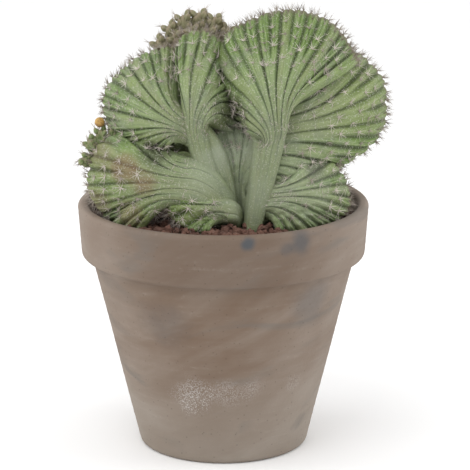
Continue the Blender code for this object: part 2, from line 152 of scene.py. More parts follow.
class Finish:
    """A Principled material and the wires that feed it."""

    def __init__(self, name, roughness):
        self.mat = bpy.data.materials.new(name)
        self.mat.use_nodes = True
        self.tree = self.mat.node_tree
        self.shader = self.tree.nodes["Principled BSDF"]
        self.shader.inputs["Roughness"].default_value = roughness
        self.place = self.node("ShaderNodeTexCoord", "Object")

    def node(self, kind, output, settings=None, sockets=None):
        node = self.tree.nodes.new(kind)
        for key, value in (settings or {}).items():
            setattr(node, key, value)
        for key, value in (sockets or {}).items():
            plug(self.tree, node.inputs[key], value)
        return Wire(self.tree, node.outputs[output])

    def mapped(self, where, stretch=(1.0, 1.0, 1.0), turn=(0.0, 0.0, 0.0)):
        """A place, turned about the origin and stretched."""
        sockets = {"Vector": where, "Scale": stretch, "Rotation": turn}
        return self.node("ShaderNodeMapping", "Vector", None, sockets)

    def noise(self, scale, detail, roughness, stretch=(1.0, 1.0, 1.0), swirl=0.0, where=None):
        sockets = {
            "Vector": self.mapped(where or self.place, stretch),
            "Scale": scale,
            "Detail": detail,
            "Roughness": roughness,
            "Distortion": swirl,
        }
        return self.node("ShaderNodeTexNoise", "Fac", None, sockets)

    def cells(self, scale, output="Distance"):
        sockets = {"Vector": self.place, "Scale": scale}
        return self.node("ShaderNodeTexVoronoi", output, None, sockets)

    def away(self, where, centre):
        """How far a place is from a centre."""
        settings = {"operation": "DISTANCE"}
        return self.node("ShaderNodeVectorMath", "Value", settings, {0: where, 1: centre})

    def attribute(self, name):
        return self.node("ShaderNodeAttribute", "Fac", {"attribute_name": name})

    def part(self, axis):
        """Metres from the origin along X or Z."""
        return self.node("ShaderNodeSeparateXYZ", axis, None, {"Vector": self.place})

    def blend(self, low, high, amount):
        node = self.tree.nodes.new("ShaderNodeMix")
        node.data_type = "RGBA"
        plug(self.tree, node.inputs["Factor"], amount)
        plug(self.tree, node.inputs[6], low)
        plug(self.tree, node.inputs[7], high)
        return Wire(self.tree, node.outputs[2])

    def bump(self, height, distance, strength=1.0, before=None):
        sockets = {"Height": height, "Distance": distance, "Strength": strength}
        if before is not None:
            sockets["Normal"] = before
        return self.node("ShaderNodeBump", "Normal", None, sockets)

    def feed(self, **wires):
        for key, wire in wires.items():
            plug(self.tree, self.shader.inputs[key.replace("_", " ")], wire)


def arc(centre_r, centre_z, radius, start, end, count):
    """Points of a corner round, as (radius, height)."""
    points = []
    for i in range(count + 1):
        angle = math.radians(start + (end - start) * i / count)
        points.append((centre_r + radius * math.cos(angle), centre_z + radius * math.sin(angle)))
    return points


def stretch_of(start, end, count):
    """Points between two profile points, without the first."""
    points = []
    for i in range(1, count + 1):
        t = i / count
        points.append((start[0] + (end[0] - start[0]) * t, start[1] + (end[1] - start[1]) * t))
    return points


band_low = pot_height - rim_band
under_rim = rim_radius - 0.002 - rim_step
inner_radius = rim_radius - pot_wall
profile = [(base_radius - 0.003, 0.0)]
profile += arc(base_radius - 0.003, 0.003, 0.003, -70, -10, 4)
profile += stretch_of(profile[-1], (under_rim - 0.0006, band_low - 0.0015), 44)
profile.append((under_rim + 0.0004, band_low))
profile += arc(rim_radius - 0.002 - 0.0018, band_low + 0.0018, 0.0018, -88, 0, 5)
profile += stretch_of(profile[-1], (rim_radius, pot_height - lip_round), 14)
profile += arc(rim_radius - lip_round, pot_height - lip_round, lip_round, 12, 90, 6)
profile += arc(inner_radius + lip_round, pot_height - lip_round, lip_round, 95, 180, 6)
profile += stretch_of(profile[-1], (under_rim - pot_wall, band_low - 0.004), 8)
profile += stretch_of(profile[-1], (base_radius - pot_wall, pot_floor), 4)

bpy.ops.object.select_all(action="DESELECT")
bpy.ops.mesh.primitive_circle_add(
    vertices=192, radius=profile[0][0], fill_type="NGON", location=(0.0, 0.0, 0.0)
)
pot = bpy.context.active_object
pot.name = "clay_pot_shell"
bpy.ops.object.mode_set(mode="EDIT")
bpy.ops.mesh.select_all(action="SELECT")
last_radius, last_height = profile[0]
for radius, height in profile[1:]:
    bpy.ops.mesh.extrude_region_move(
        TRANSFORM_OT_translate={"value": (0.0, 0.0, height - last_height)}
    )
    grow = radius / last_radius
    bpy.ops.transform.resize(value=(grow, grow, 1.0), center_override=(0.0, 0.0, 0.0))
    last_radius, last_height = radius, height
bpy.ops.mesh.select_all(action="SELECT")
bpy.ops.mesh.normals_make_consistent(inside=False)
bpy.ops.object.mode_set(mode="OBJECT")
for vert in pot.data.vertices:
    reach = math.hypot(vert.co.x, vert.co.y)
    if reach < 0.04 or vert.co.z < 0.002:
        continue
    turn = math.atan2(vert.co.y, vert.co.x)
    uneven = 0.00022 * noise.noise((vert.co.x * 22.0, vert.co.y * 22.0, vert.co.z * 22.0))
    uneven += 0.00007 * math.sin(vert.co.z * 1500.0 + 2.0 * math.sin(turn * 2.0))
    vert.co.x *= 1.0 + uneven / reach
    vert.co.y *= 1.0 + uneven / reach
for i in range(3):
    angle = math.radians(90 + 120 * i)
    bpy.ops.object.select_all(action="DESELECT")
    bpy.ops.mesh.primitive_cylinder_add(
        vertices=32,
        radius=drain_radius,
        depth=0.06,
        location=(drain_circle * math.cos(angle), drain_circle * math.sin(angle), 0.0),
    )
    drill = bpy.context.active_object
    bpy.context.view_layer.objects.active = pot
    cut = pot.modifiers.new("drain", "BOOLEAN")
    cut.object = drill
    cut.operation = "DIFFERENCE"
    bpy.ops.object.modifier_apply(modifier=cut.name)
    bpy.data.objects.remove(drill, do_unlink=True)
bpy.ops.object.select_all(action="DESELECT")
pot.select_set(True)
bpy.context.view_layer.objects.active = pot
bpy.ops.object.shade_smooth_by_angle(angle=math.radians(40.0))

clay = Finish("washed_clay", 0.93)
clouds = clay.noise(6.0, 3.0, 0.5, (1.0, 1.0, 1.6), 1.2)
slanted = clay.mapped(clay.place, turn=(0.0, 0.45, 0.0))
smears = clay.noise(11.0, 5.0, 0.55, (1.0, 1.0, 4.5), 0.5, slanted)
brushed = clay.noise(30.0, 5.0, 0.6, (1.0, 1.0, 12.0), 0.3)
mottle = clay.noise(60.0, 4.0, 0.6)
grain = clay.noise(420.0, 3.0, 0.6)
across = clay.part("X")
height_share = clay.part("Z") / pot_height
# Painted light: the pot is painted lighter and greyer towards its left and right edges, where the
# light from both sides falls.
lit_sides = (across.maths("ABSOLUTE", across) / rim_radius).step(0.30, 1.0)
low_down = 1.0 - height_share.step(0.0, 0.55)
banded = height_share.step(0.74, 0.80)
worn = (clouds * 0.45 + smears * 0.40 + brushed * 0.08 + mottle * 0.07).step(0.36, 0.68)
colour = clay.blend(clay_brown, slip_grey, worn * 0.55 + lit_sides * 0.40 + low_down * 0.35)
# Painted shade: the rim band is painted darker brown across its middle, between the lighter sides.
colour = clay.blend(colour, (0.135, 0.100, 0.078), banded * (1.0 - lit_sides) * 0.45)
colour = clay.blend(colour, (0.29, 0.265, 0.225), low_down * 0.30)
colour = clay.blend(colour, slip_pale, (brushed * 0.6 + grain * 0.4).step(0.55, 0.8) * 0.16)
smoky = clay.noise(13.0, 4.0, 0.55, (1.0, 1.0, 3.0), 0.8)
colour = clay.blend(colour, (0.150, 0.138, 0.125), (smoky - 0.54).step(0.0, 0.14) * 0.45)
specks = clay.cells(260.0)
colour = clay.blend(colour, (0.06, 0.045, 0.035), (0.16 - specks).step(0.0, 0.10) * 0.35)


def near_to(centre, reach, rough):
    """1 around a place on the pot, fading to 0 at a ragged edge."""
    gap = clay.away(clay.place, centre)
    return 1.0 - (gap / reach + (mottle - 0.5) * rough).step(0.25, 1.0)


for centre, reach, strength in stains:
    colour = clay.blend(colour, stain_blue, near_to(centre, reach, 0.8) * strength)
crystals = clay.noise(1300.0, 2.0, 0.7)
for centre, reach, strength in blooms:
    salt = near_to(centre, reach, 1.6) * (crystals * 0.75 + mottle * 0.25 - 0.50).step(0.0, 0.05)
    colour = clay.blend(colour, (0.60, 0.59, 0.58), salt * strength)
clay.feed(Base_Color=colour)
relief = clay.bump(grain * 0.5 + mottle * 0.5, 0.0006, 0.4)
relief = clay.bump(brushed, 0.0005, 0.25, relief)
clay.feed(Normal=relief)
clay.shader.inputs["Specular IOR Level"].default_value = 0.25
pot.data.materials.append(clay.mat)
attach(pot, "root")
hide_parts("clay_pot")


# The gritty soil: crushed lava and pumice with a little compost, filled to just under the
# rim. Its top is heaped with loose grit of all sizes, most of it rust brown.
soil_low, soil_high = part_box("gritty_soil")
soil_top = soil_high[2]
soil_radius = soil_high[0]
soil_dark = (0.030, 0.019, 0.013)
soil_rust = (0.105, 0.052, 0.034)
soil_inset = 0.0006
soil_rings = 9
grit_count = 620
grit_small = 0.0011
grit_large = 0.0030
heap_count = 260
heap_rise = 0.0042

bpy.ops.object.select_all(action="DESELECT")
bpy.ops.mesh.primitive_cylinder_add(
    vertices=96,
    radius=soil_radius - soil_inset,
    depth=soil_top - soil_low[2],
    location=(0.0, 0.0, (soil_top + soil_low[2]) / 2),
)
soil = bpy.context.active_object
soil.name = "gritty_soil_fill"
bpy.ops.object.transform_apply(location=True, rotation=False, scale=False)
bottom_share = (base_radius - pot_wall - soil_inset) / (soil_radius - soil_inset)
for vert in soil.data.vertices:
    if vert.co.z < soil_top - 0.001:
        vert.co.x *= bottom_share
        vert.co.y *= bottom_share
bpy.ops.object.mode_set(mode="EDIT")
bpy.ops.mesh.select_all(action="DESELECT")
bpy.ops.object.mode_set(mode="OBJECT")
for polygon in soil.data.polygons:
    polygon.select = polygon.normal.z > 0.9
bpy.ops.object.mode_set(mode="EDIT")
for ring in range(soil_rings):
    bpy.ops.mesh.inset(thickness=0.098 * soil_radius, use_even_offset=False)
bpy.ops.object.mode_set(mode="OBJECT")
for vert in soil.data.vertices:
    if vert.co.z > soil_top - 0.0005 and math.hypot(vert.co.x, vert.co.y) < 0.97 * soil_radius:
        vert.co.z += 0.0012 * noise.noise(vert.co * 90.0) - 0.0004
for polygon in soil.data.polygons:
    polygon.use_smooth = True

earth = Finish("gritty_soil", 0.96)
lumps = earth.cells(420.0, "Color")
lump_shade = earth.node("ShaderNodeSeparateColor", "Red", None, {"Color": lumps})
crumbs = earth.noise(700.0, 4.0, 0.6)
earth.feed(Base_Color=earth.blend(soil_dark, soil_rust, lump_shade * crumbs * 1.5))
earth.feed(Normal=earth.bump(earth.cells(420.0) + crumbs, 0.0012, 0.8))
soil.data.materials.append(earth.mat)
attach(soil, "root")
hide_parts("gritty_soil")


def rough_stone(seed, size, flat):
    """A broken lump of lava, centred on the origin."""
    bpy.ops.object.select_all(action="DESELECT")
    bpy.ops.mesh.primitive_ico_sphere_add(subdivisions=3, radius=size, location=(0.0, 0.0, 0.0))
    stone = bpy.context.active_object
    shift = Vector((seed * 7.3, seed * 3.1, seed * 5.7))
    chips = []
    for k in range(1, 8):
        steps = (Vector((k, 0, 0)), Vector((0, k, 0)), Vector((0, 0, k)))
        chips.append(Vector([noise.noise(shift + step) for step in steps]).normalized())
    for vert in stone.data.vertices:
        way = vert.co.normalized()
        reach = size * (1.0 + 0.25 * noise.noise(way * 1.7 + shift))
        for chip in chips:
            facing = way.dot(chip)
            if facing > 0.3:
                reach = min(reach, 0.80 * size / facing)
        reach += size * 0.13 * noise.noise(way * 4.5 + shift)
        vert.co = way * reach
        vert.co.z *= flat
    return stone


# Lava stones lying on the soil, and the finer grit between them.
lava = Finish("lava", 0.95)
pits = lava.noise(900.0, 4.0, 0.65)
tone = lava.attribute("tone")
rust = lava.blend((0.045, 0.026, 0.020), (0.165, 0.078, 0.055), tone)
rust = lava.blend(rust, (0.30, 0.24, 0.20), (pits * 0.7 + tone * 0.3).step(0.62, 0.80) * 0.45)
lava.feed(Base_Color=lava.blend(rust, (0.02, 0.013, 0.010), (0.42 - pits).step(0.0, 0.10) * 0.8))
lava.feed(Normal=lava.bump(pits, 0.0006, 0.9))

stone_number = 1
while "lava_stone_%02d" % stone_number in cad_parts:
    name = "lava_stone_%02d" % stone_number
    low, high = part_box(name)
    wide = max(high[0] - low[0], high[1] - low[1])
    stone = rough_stone(stone_number, 0.56 * wide, (high[2] - low[2]) / wide)
    stone.name = name + "_lump"
    for vert in stone.data.vertices:
        vert.co.x += (low[0] + high[0]) / 2
        vert.co.y += (low[1] + high[1]) / 2
        vert.co.z += (low[2] + high[2]) / 2 - 0.0004
    shade = 0.35 + 0.6 * ((stone_number * 37) % 17) / 17.0
    shades = stone.data.attributes.new("tone", "FLOAT", "POINT")
    shades.data.foreach_set("value", [shade] * len(stone.data.vertices))
    stone.data.materials.append(lava.mat)
    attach(stone, "root")
    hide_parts(name)
    stone_number += 1


def copies(name, models, places, tones=None):
    """One mesh of copies of small models, each put down by (model number, matrix)."""
    all_points = []
    all_faces = []
    all_tones = []
    count = 0
    for order, (which, matrix) in enumerate(places):
        points, faces = models[which]
        turned = points @ np.array(matrix.to_3x3()).T + np.array(matrix.translation)
        all_points.append(turned)
        all_faces.extend([tuple(i + count for i in face) for face in faces])
        if tones is not None:
            all_tones.extend([tones[order]] * len(points))
        count += len(points)
    mesh = bpy.data.meshes.new(name)
    mesh.from_pydata(np.concatenate(all_points).tolist(), [], all_faces)
    if tones is not None:
        shades = mesh.attributes.new("tone", "FLOAT", "POINT")
        shades.data.foreach_set("value", all_tones)
    obj = bpy.data.objects.new(name, mesh)
    bpy.context.scene.collection.objects.link(obj)
    return obj


grit_rng = random.Random(5)
grit_models = []
for kind in range(5):
    bpy.ops.object.select_all(action="DESELECT")
    bpy.ops.mesh.primitive_ico_sphere_add(subdivisions=1, radius=1.0)
    chip = bpy.context.active_object
    for vert in chip.data.vertices:
        vert.co *= grit_rng.uniform(0.65, 1.05)
    points = np.array([tuple(v.co) for v in chip.data.vertices])
    grit_models.append((points, [tuple(p.vertices) for p in chip.data.polygons]))
    bpy.data.objects.remove(chip, do_unlink=True)
grit_places = []
grit_tones = []


def drop_grit(model, turn, reach, size, axis, step, highest, flat):
    """Puts one crumb down, up to some steps over the soil's flat top."""
    spin = Matrix.Rotation(grit_rng.uniform(0.0, math.tau), 4, axis)
    rise = soil_top + step * grit_rng.uniform(-0.2, highest)
    place = Matrix.Translation((reach * math.cos(turn), reach * math.sin(turn), rise))
    grit_places.append((model, place @ spin @ Matrix.Diagonal((size, size, size * flat, 1.0))))


for i in range(grit_count):
    reach = (soil_radius - 0.003) * math.sqrt(grit_rng.random())
    turn = grit_rng.uniform(0.0, math.tau)
    size = grit_small + (grit_large - grit_small) * grit_rng.random() ** 2
    drop_grit(i % 5, turn, reach, size, (0.3, 0.5, 0.8), size, 0.5, 0.75)
    grit_tones.append(grit_rng.random())
for i in range(heap_count):
    turn = math.radians(grit_rng.uniform(222.0, 302.0))
    reach = grit_rng.uniform(0.048, soil_radius - 0.004)
    size = grit_rng.uniform(0.0016, 0.0034)
    drop_grit(i % 5, turn, reach, size, (0.6, 0.3, 0.7), heap_rise, 1.0, 0.8)
    grit_tones.append(grit_rng.uniform(0.4, 1.0))
grit = copies("loose_grit", grit_models, grit_places, grit_tones)
grit.data.materials.append(lava.mat)
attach(grit, "root")


# The crest: one flattened, folded stem. It is built fan by fan, and each fan is a thick
# sheet with ribs that branch on their way from the base to the growing edge. Points are
# millimetres from the middle of the soil's top; half is half the sheet's thickness.
drawn_for_rim = 0.085
mm = 0.001 * rim_radius / drawn_for_rim
fans = {
    "right_upper": {
        "base": ((11, -43, -1), (20, -41, -1)),
        "neck": ((17, -44, 51), (36, -43, 61)),
        "way": (0.12, -0.15, 1.0),
        "face": (0, -14, 0),
        "half": (8.5, 9.5),
        "ribs": 22,
        "edge": (
            (21, -20, 49), (15, -6, 61), (8, 2, 74), (2, 5, 86), (0, 5, 97), (3, 8, 105),
            (10, 10, 110), (19, 10, 114), (28, 10, 117), (39, 8, 118), (50, 6, 116),
            (61, 3, 111), (68, -2, 104), (74, -8, 97), (78, -14, 92),
        ),
    },
    "right_side": {
        "base": ((16, -32, -1), (22, -31, -1)),
        "neck": ((38, -28, 74), (23, -38, 27)),
        "way": (1.0, -0.1, 0.35),
        "face": (0, -10, 0),
        "half": (8.5, 9.5),
        "ribs": 17,
        "edge": (
            (55, 7, 103), (66, 8, 96), (77, 8, 91), (85, 8, 85), (92, 7, 77), (94, 5, 66),
            (94, 3, 55), (89, -1, 46), (80, -6, 41), (70, -11, 37), (58, -17, 33),
            (45, -24, 33), (36, -28, 32),
        ),
    },
    "left_top": {
        "base": ((10, -33, -1), (2, -36, -1)),
        "neck": ((-8, -40, 58), (-22, -42, 60)),
        "way": (-0.1, -0.1, 1.0),
        "face": (0, -12, 0),
        "half": (8.5, 8.5),
        "ribs": 15,
        "edge": (
            (3, -14, 51), (10, 0, 57), (10, 9, 66), (7, 12, 76), (2, 12, 85), (0, 10, 95),
            (-4, 8, 102), (-10, 5, 105), (-17, 2, 106), (-23, -2, 103), (-26, -9, 98),
        ),
    },
    "left_side": {
        "base": ((8, -29, -1), (0, -31, -1)),
        "neck": ((-16, -37, 66), (-23, -39, 50)),
        "way": (-1.0, -0.1, 0.45),
        "face": (0, -12, 2),
        "half": (8.5, 9.5),
        "ribs": 18,
        "edge": (
            (-19, 6, 98), (-28, 4, 95), (-37, 2, 93), (-48, 0, 90), (-56, -2, 85),
            (-64, -4, 79), (-68, -6, 71), (-68, -8, 63), (-64, -12, 56), (-56, -18, 53),
            (-44, -24, 50), (-32, -31, 49),
        ),
    },
    "left_low": {
        "base": ((9, -28, -1), (1, -37, -1)),
        "neck": ((-18, -41, 43), (-25, -49, 16)),
        "way": (-1.0, -0.1, 0.1),
        "face": (-2, -8, 2),
        "half": (9.0, 9.0),
        "ribs": 18,
        "edge": (
            (-31, -31, 46), (-35, -28, 42), (-40, -25, 36), (-45, -23, 37), (-51, -21, 40),
            (-57, -20, 43), (-63, -20, 45), (-69, -20, 45), (-74, -21, 41), (-77, -22, 32),
            (-78, -22, 22), (-75, -20, 14), (-66, -21, 4), (-57, -34, 1), (-45, -43, 1),
        ),
    },
    "front_low": {
        "base": ((6, -28, -1), (2, -37, -1)),
        "neck": ((-1, -44, 20), (1, -48, 6)),
        "way": (-1.0, -0.1, 0.05),
        "face": (0, -4, 2),
        "half": (6.5, 6.0),
        "ribs": 6,
        "edge": (
            (-20, -44, 23), (-28, -46, 21), (-32, -48, 15), (-30, -50, 9), (-22, -52, 5),
            (-8, -52, 4),
        ),
    },
    "right_low": {
        "base": ((17, -28, -1), (23, -36, -1)),
        "neck": ((26, -37, 29), (23, -42, 7)),
        "way": (1.0, -0.1, 0.25),
        "face": (2, -8, 2),
        "half": (8.5, 8.0),
        "ribs": 15,
        "edge": (
            (35, -33, 32), (46, -29, 34), (56, -26, 36), (64, -24, 32), (70, -22, 24),
            (73, -22, 15), (72, -25, 8), (65, -30, 4), (54, -37, 3), (41, -41, 2),
            (29, -44, 2),
        ),
    },
    "middle": {
        "base": ((15, -27, 4), (6, -27, 4)),
        "neck": ((15, -29, 27), (2, -29, 27)),
        "way": (0.0, -0.1, 1.0),
        "face": (0, -4, 0),
        "half": (6.0, 5.0),
        "ribs": 9,
        "edge": (
            (26, -26, 38), (23, -24, 48), (18, -22, 55), (10, -21, 57), (1, -22, 57),
            (-5, -24, 52), (-7, -27, 41),
        ),
    },
    "back_right": {
        "base": ((4, -14, -1), (20, -14, -1)),
        "neck": ((6, 4, 34), (20, 4, 34)),
        "way": (0.1, 0.4, 1.0),
        "face": (2, 14, 0),
        "half": (13.0, 11.0),
        "ribs": 17,
        "edge": (
            (-12, 24, 58), (-6, 23, 76), (8, 20, 84), (22, 18, 88), (36, 15, 86),
            (48, 13, 78), (57, 13, 66), (60, 17, 50), (56, 24, 36), (46, 34, 24),
            (36, 40, 14),
        ),
    },
    "back_left": {
        "base": ((0, -12, -1), (12, -10, -1)),
        "neck": ((-14, 4, 34), (-4, 6, 30)),
        "way": (-0.5, 0.3, 0.8),
        "face": (-2, 12, 0),
        "half": (12.0, 10.5),
        "ribs": 15,
        "edge": (
            (-56, 4, 12), (-62, 4, 28), (-61, 6, 44), (-55, 9, 58), (-45, 12, 68),
            (-34, 17, 72), (-22, 23, 68), (-12, 30, 56),
        ),
    },
    "back_low": {
        "base": ((-2, -6, -1), (14, -6, -1)),
        "neck": ((-8, 20, 16), (12, 20, 16)),
        "way": (0.0, 1.0, 0.5),
        "face": (0, 8, 4),
        "half": (11.0, 10.0),
        "ribs": 14,
        "edge": (
            (-46, 34, 5), (-47, 42, 15), (-34, 52, 24), (-16, 58, 29), (2, 60, 27),
            (18, 58, 30), (32, 52, 24), (40, 45, 14), (38, 42, 5),
        ),
    },
    "heart": {
        "base": ((-6, -14, -1), (20, -14, -1)),
        "neck": ((-14, -9, 30), (26, -9, 30)),
        "way": (0.0, 0.15, 1.0),
        "face": (0, 4, 0),
        "half": (13.0, 11.0),
        "ribs": 14,
        "edge": (
            (-42, -3, 38), (-41, -1, 56), (-30, 2, 70), (-12, 5, 76), (6, 6, 70),
            (22, 5, 80), (38, 3, 84), (54, 0, 74), (60, -3, 56), (50, -6, 38),
        ),
    },
    "top_back": {
        "base": ((-14, -4, 40), (-4, -4, 40)),
        "neck": ((-20, 6, 70), (-8, 6, 70)),
        "way": (0.0, 0.3, 1.0),
        "face": (0, 4, 0),
        "half": (10.0, 8.0),
        "ribs": 8,
        "edge": (
            (-38, 13, 78), (-36, 15, 91), (-31, 16, 100), (-25, 16, 106), (-17, 17, 109),
            (-9, 17, 108), (-2, 16, 104), (3, 15, 95), (4, 15, 80),
        ),
    },
}
neck_share = 0.32
rib_depth = 3.0
edge_notch = 0.012
fold_wave = 1.6
groove_starts = (0.05, 0.55, 0.28, 0.66)
columns_per_rib = 14
fan_rows = 92


def ease(low, high, value):
    """0 below low, 1 above high, smooth between, on arrays."""
    t = np.clip((value - low) / (high - low), 0.0, 1.0)
    return t * t * (3.0 - 2.0 * t)


def follow(points, fraction):
    """Points at fractions of the length of a smooth curve through points."""
    points = np.array(points, dtype=float)
    spans = np.linalg.norm(np.diff(points, axis=0), axis=1)
    marks = np.concatenate(([0.0], np.cumsum(spans)))
    target = fraction * marks[-1]
    index = np.clip(np.searchsorted(marks, target, side="right") - 1, 0, len(spans) - 1)
    t = np.clip((target - marks[index]) / spans[index], 0.0, 1.0)[..., None]
    before = points[np.maximum(index - 1, 0)]
    start = points[index]
    end = points[index + 1]
    after = points[np.minimum(index + 2, len(points) - 1)]
    return 0.5 * (
        2.0 * start
        + (end - before) * t
        + (2.0 * before - 5.0 * start + 4.0 * end - after) * t * t
        + (3.0 * start - before - 3.0 * end + after) * t * t * t
    )


class Fan:
    """One fan's shape: its middle sheet, its thickness and its branching ribs."""

    def __init__(self, data, rng):
        self.base = np.array(data["base"], dtype=float)
        self.neck = np.array(data["neck"], dtype=float)
        self.edge = data["edge"]
        way = np.array(data["way"], dtype=float)
        self.way = way / np.linalg.norm(way)
        self.face = np.array(data["face"], dtype=float)
        self.half = data["half"]
        self.ribs = data["ribs"]
        self.side = 1.0
        middle = self.normal(np.array([0.5]), np.array([0.7]))[0]
        if middle @ self.face < 0.0:
            self.side = -1.0
        starts = [groove_starts[i % 4] + rng.uniform(-0.05, 0.05) for i in range(self.ribs + 1)]
        self.starts = np.array(starts)
        places = [(i + rng.uniform(-0.16, 0.16)) / self.ribs for i in range(self.ribs + 1)]
        places[0] = 0.0
        places[-1] = 1.0
        self.places = np.array(places)
        self.depths = np.array([rng.uniform(0.75, 1.1) for i in range(self.ribs + 1)])
        self.tones = np.array([rng.random() for i in range(self.ribs)])
        self.phases = np.array([rng.random() for i in range(self.ribs)])

    def sheet(self, u, v):
        base = self.base[0] + (self.base[1] - self.base[0]) * u[..., None]
        neck = self.neck[0] + (self.neck[1] - self.neck[0]) * u[..., None]
        edge = follow(self.edge, u)
        v = v[..., None]
        low = np.clip(v / neck_share, 0.0, 1.0)
        rise = np.linalg.norm(neck - base, axis=-1, keepdims=True)
        below = neck - self.way * 0.35 * rise
        stem = base * (1.0 - low) ** 2 + below * 2.0 * low * (1.0 - low) + neck * low * low
        high = np.clip((v - neck_share) / (1.0 - neck_share), 0.0, 1.0)
        reach = edge - neck
        length = np.linalg.norm(reach, axis=-1, keepdims=True)
        first = neck + self.way * 0.42 * length + self.face * 0.5
        second = edge - reach * 0.32 + self.face
        blade = (
            neck * (1.0 - high) ** 3
            + first * 3.0 * high * (1.0 - high) ** 2
            + second * 3.0 * high * high * (1.0 - high)
            + edge * high ** 3
        )
        return np.where(v < neck_share, stem, blade)

    def normal(self, u, v):
        u = np.clip(u, 0.02, 0.98)
        v = np.clip(v, 0.03, 0.97)
        across = self.sheet(u + 0.01, v) - self.sheet(u - 0.01, v)
        up = self.sheet(u, v + 0.02) - self.sheet(u, v - 0.02)
        way = np.cross(across, up)
        return self.side * way / np.linalg.norm(way, axis=-1, keepdims=True)

    def furrow(self, u, v):
        """1 in the bottom of a full-depth groove, 0 on a rib's crown."""
        bend = np.sin(6.0 * v + 9.0 * u) * np.sin(math.pi * np.clip(u, 0.0, 1.0))
        u = np.clip(u + 0.13 / self.ribs * bend, 0.0, 1.0)
        left = np.clip(np.searchsorted(self.places, u, side="right") - 1, 0, self.ribs - 1)
        share = (u - self.places[left]) / (self.places[left + 1] - self.places[left])
        nearest = np.where(share < 0.5, left, left + 1)
        near = np.abs(1.0 - 2.0 * share)
        start = self.starts[nearest]
        inside = (nearest > 0) & (nearest < self.ribs)
        depth = near ** 2.0 * ease(start, start + 0.22, v) * self.depths[nearest]
        depth *= 0.45 + 0.55 * ease(0.20, 0.55, v)
        depth = np.where(inside, depth, 0.0) * (1.0 - 0.35 * ease(0.9, 1.0, v))
        split = 0.62 + 0.2 * self.tones[left]
        return depth + 0.45 * (1.0 - near) ** 5 * ease(split, split + 0.15, v)

    def rib_width(self, u, v):
        """How far one rib's groove is from the next, in millimetres."""
        u = np.clip(u, 0.02, 0.98)
        across = self.sheet(u + 0.01, v) - self.sheet(u - 0.01, v)
        return np.linalg.norm(across, axis=-1) / 0.02 / self.ribs

    def skin(self, u, v, side):
        """Points of the fan's surface in metres; side is 1 on its face and -1 on its back."""
        groove = self.furrow(u, v)
        low, high = self.half
        half = low + (high - low) * ease(0.3, 0.8, v)
        half = half * np.sqrt(np.clip(1.0 - (np.clip(v - 0.86, 0.0, 1.0) / 0.14) ** 2, 0.0, 1.0))
        half = half * np.sqrt(np.clip(1.0 - np.abs(2.0 * u - 1.0) ** 5, 0.0, 1.0))
        rib = np.clip((u * self.ribs).astype(int), 0, self.ribs - 1)
        swell = np.cos(math.tau * (v * 9.0 + self.phases[rib])) * (1.0 - groove)
        rise = 0.3 * swell * ease(0.25, 0.5, v) * np.clip(half / 5.0, 0.0, 1.0)
        deepest = np.minimum(0.5 * half, np.minimum(rib_depth, 0.62 * self.rib_width(u, v)))
        half = half + rise - deepest * groove
        v_used = v * (1.0 - edge_notch * groove * ease(0.8, 1.0, v))
        spot = self.sheet(u, v_used)
        wave = fold_wave * np.sin(7.0 * v + 8.0 * u) * ease(0.35, 0.75, v)
        spot = spot + self.normal(u, v) * (half * side + wave)[..., None]
        return spot * mm + np.array([0.0, 0.0, soil_top])


scar_brown = (0.200, 0.125, 0.075)
# Painted shade: the next colour darkens the valley and the notches between the fans, where shade
# falls.
fold_shade = (0.040, 0.042, 0.022)
# Partly painted light: the next colour is a pale frost that also lightens the middle of the crest,
# where the fans shade it.
frost_and_painted_light = (0.38, 0.42, 0.32)
# Colour spots on the crest as (centre, reach, amount, colour): brown scars, painted shade in the
# folds, and frost that is partly painted light.
scars_and_painted_light = (
    ((-0.045, -0.040, 0.1705), 0.0100, 0.80, scar_brown),
    ((-0.055, -0.040, 0.1765), 0.0100, 0.70, scar_brown),
    ((-0.069, -0.036, 0.1820), 0.0120, 0.40, scar_brown),
    ((-0.072, -0.034, 0.1520), 0.0110, 0.45, scar_brown),
    ((-0.052, -0.044, 0.1480), 0.0100, 0.45, scar_brown),
    ((-0.038, -0.032, 0.1840), 0.0120, 0.80, fold_shade),
    ((0.052, -0.036, 0.1740), 0.0080, 0.75, fold_shade),
    ((0.002, 0.000, 0.2050), 0.0210, 0.90, fold_shade),
    ((0.002, 0.000, 0.2240), 0.0130, 0.65, fold_shade),
    ((0.008, -0.018, 0.1840), 0.0200, 0.70, frost_and_painted_light),
    ((0.014, -0.040, 0.1600), 0.0190, 0.30, frost_and_painted_light),
    ((-0.010, -0.032, 0.1720), 0.0170, 0.30, frost_and_painted_light),
    ((0.045, -0.045, 0.1600), 0.0280, 0.30, frost_and_painted_light),
)
flesh = Finish("crest_skin", 0.62)
along = flesh.attribute("along")
furrow = flesh.attribute("furrow")
rib_tone = flesh.attribute("tone")
rib_place = flesh.attribute("across")
on_fan = flesh.node("ShaderNodeCombineXYZ", "Vector", None, {"X": rib_place, "Y": along})
veins = flesh.noise(5.0, 5.0, 0.65, (1.0, 0.9, 1.0), 0.0, on_fan)
patches = flesh.noise(28.0, 4.0, 0.6)
mottle = flesh.noise(160.0, 4.0, 0.6)
flecks = flesh.noise(1100.0, 2.0, 0.5)
# Painted highlight: the crowns of the ribs are painted lighter, in patches.
crown = (1.0 - furrow).step(0.75, 1.0) * (0.10 + 0.50 * patches)
bruises = (mottle * 0.6 + patches * 0.4).step(0.50, 0.64)
dusty = (patches * 0.6 + mottle * 0.4).step(0.45, 0.65)
# Painted shade: the grooves between the ribs are painted dark, more so towards the growing edge.
painted_groove_shade = furrow.step(0.15, 0.85) * (along.step(0.05, 0.60) * 0.55 + 0.25)
green = flesh.blend((0.215, 0.247, 0.160), (0.126, 0.205, 0.044), along.step(0.30, 0.80))
